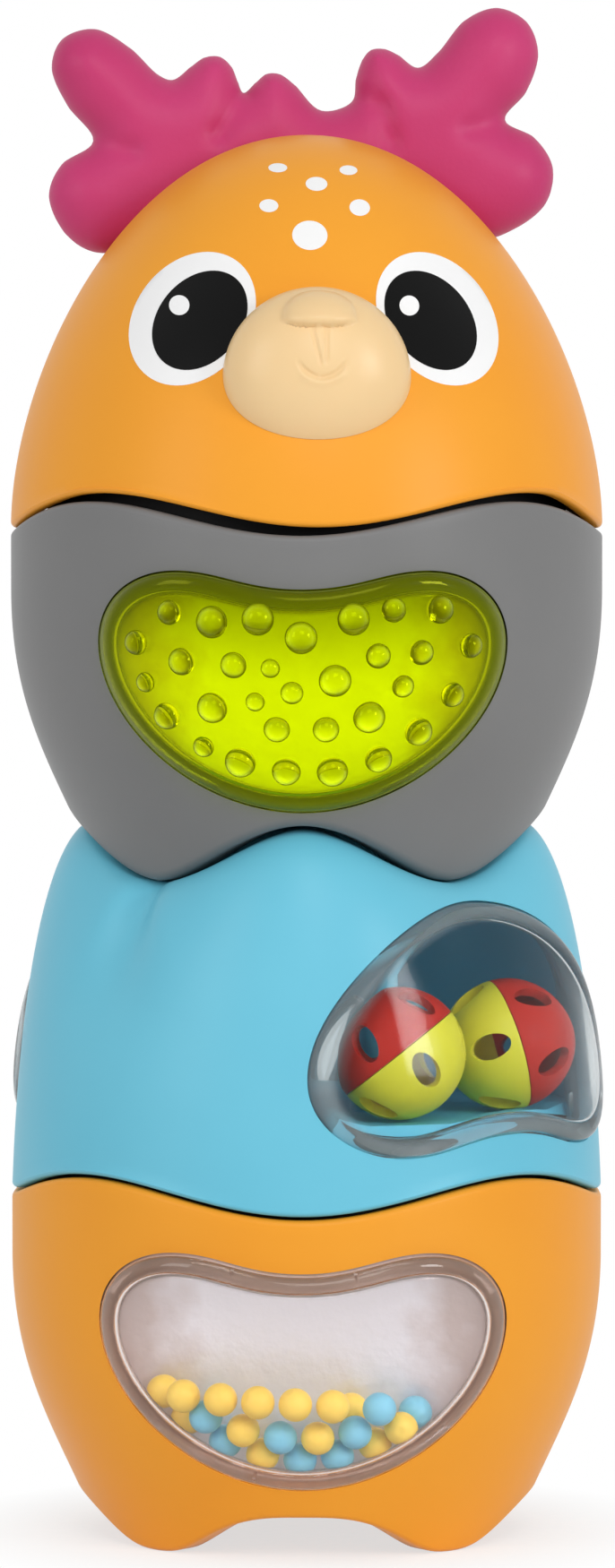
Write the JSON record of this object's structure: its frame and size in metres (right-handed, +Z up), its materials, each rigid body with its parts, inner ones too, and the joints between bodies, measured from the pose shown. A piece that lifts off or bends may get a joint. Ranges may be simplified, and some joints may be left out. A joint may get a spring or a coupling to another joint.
{
  "type": "stacking animal toy",
  "caption": "Stacking baby toy of footed egg-shaped bodies and domed caps that lift apart, with bead, ball and knobbly windows and an antlered animal head on top.",
  "frame": {"origin": "on the floor, under the middle of the tower", "axes": "+Z up along the tower, the face and the bead window look along -Y, +X to the viewer's right"},
  "size_m": [0.1018, 0.1043, 0.2589],
  "materials": {
    "orange_shell": "satin moulded orange plastic",
    "blue_shell": "satin moulded light blue plastic",
    "grey_shell": "satin moulded grey plastic",
    "clear_windows": "clear polished plastic",
    "lime_window": "clear lime plastic with knobs",
    "trays": "plain moulded plastic",
    "mirrors": "silver mirror foil on a plastic plate",
    "bead_yellow": "yellow plastic bead",
    "bead_blue": "blue plastic bead",
    "ball_red": "red moulded plastic",
    "ball_yellow": "yellow moulded plastic",
    "antlers": "soft matt pink plastic",
    "muzzle": "smooth beige plastic",
    "screws": "plain steel"
  },
  "bodies": {
    "base": {"base_shell": "orange_shell", "base_deck": "orange_shell", "base_window": "clear_windows", "base_tray": "trays", "base_mirror": "mirrors", "base_screw_1": "screws", "base_screw_2": "screws", "base_screw_3": "screws", "base_screw_4": "screws", "base_floor": "orange_shell"},
    "beads": {"bead_01_blue": "bead_blue", "bead_02_yellow": "bead_yellow", "bead_03_blue": "bead_blue", "bead_04_blue": "bead_blue", "bead_05_yellow": "bead_yellow", "bead_06_blue": "bead_blue", "bead_07_yellow": "bead_yellow", "bead_08_blue": "bead_blue", "bead_09_yellow": "bead_yellow", "bead_10_blue": "bead_blue", "bead_11_yellow": "bead_yellow", "bead_12_yellow": "bead_yellow", "bead_13_yellow": "bead_yellow", "bead_14_yellow": "bead_yellow", "bead_15_yellow": "bead_yellow", "bead_16_blue": "bead_blue", "bead_17_yellow": "bead_yellow", "bead_18_yellow": "bead_yellow", "bead_19_yellow": "bead_yellow", "bead_20_yellow": "bead_yellow", "bead_21_blue": "bead_blue"},
    "cap": {"cap_shell": "blue_shell", "cap_floor": "blue_shell", "cap_window_front": "clear_windows", "cap_window_back": "clear_windows", "cap_screw_1": "screws", "cap_screw_2": "screws", "cap_screw_3": "screws", "cap_screw_4": "screws"},
    "left_ball": {"left_ball_red": "ball_red", "left_ball_yellow": "ball_yellow"},
    "right_ball": {"right_ball_red": "ball_red", "right_ball_yellow": "ball_yellow"},
    "upper": {"upper_shell": "grey_shell", "upper_deck": "grey_shell", "upper_window": "lime_window", "upper_tray": "trays", "upper_mirror": "mirrors", "upper_screw_1": "screws", "upper_screw_2": "screws", "upper_screw_3": "screws", "upper_screw_4": "screws"},
    "head": {"head_shell": "orange_shell", "head_floor": "orange_shell", "antlers": "antlers", "muzzle": "muzzle", "head_screw_1": "screws", "head_screw_2": "screws", "head_screw_3": "screws", "head_screw_4": "screws"}
  },
  "joints": [
    {"name": "cap_lift", "type": "slide", "parent": "base", "child": "cap", "axis": [0, 0, 1], "range_m": [0, 0.03]},
    {"name": "upper_lift", "type": "slide", "parent": "cap", "child": "upper", "axis": [0, 0, 1], "range_m": [0, 0.03]},
    {"name": "head_lift", "type": "slide", "parent": "upper", "child": "head", "axis": [0, 0, 1], "range_m": [0, 0.03]},
    {"name": "bead_shift", "type": "slide", "parent": "base", "child": "beads", "axis": [0, 0, 1], "range_m": [0, 0.01]},
    {"name": "left_ball_roll", "type": "hinge", "parent": "cap", "child": "left_ball", "pos_m": [0.0157, -0.03182, 0.084], "axis": [0.7071, -0.7071, 0], "continuous": true},
    {"name": "right_ball_roll", "type": "hinge", "parent": "cap", "child": "right_ball", "pos_m": [0.03373, -0.01379, 0.084], "axis": [0.7071, -0.7071, 0], "continuous": true}
  ]
}
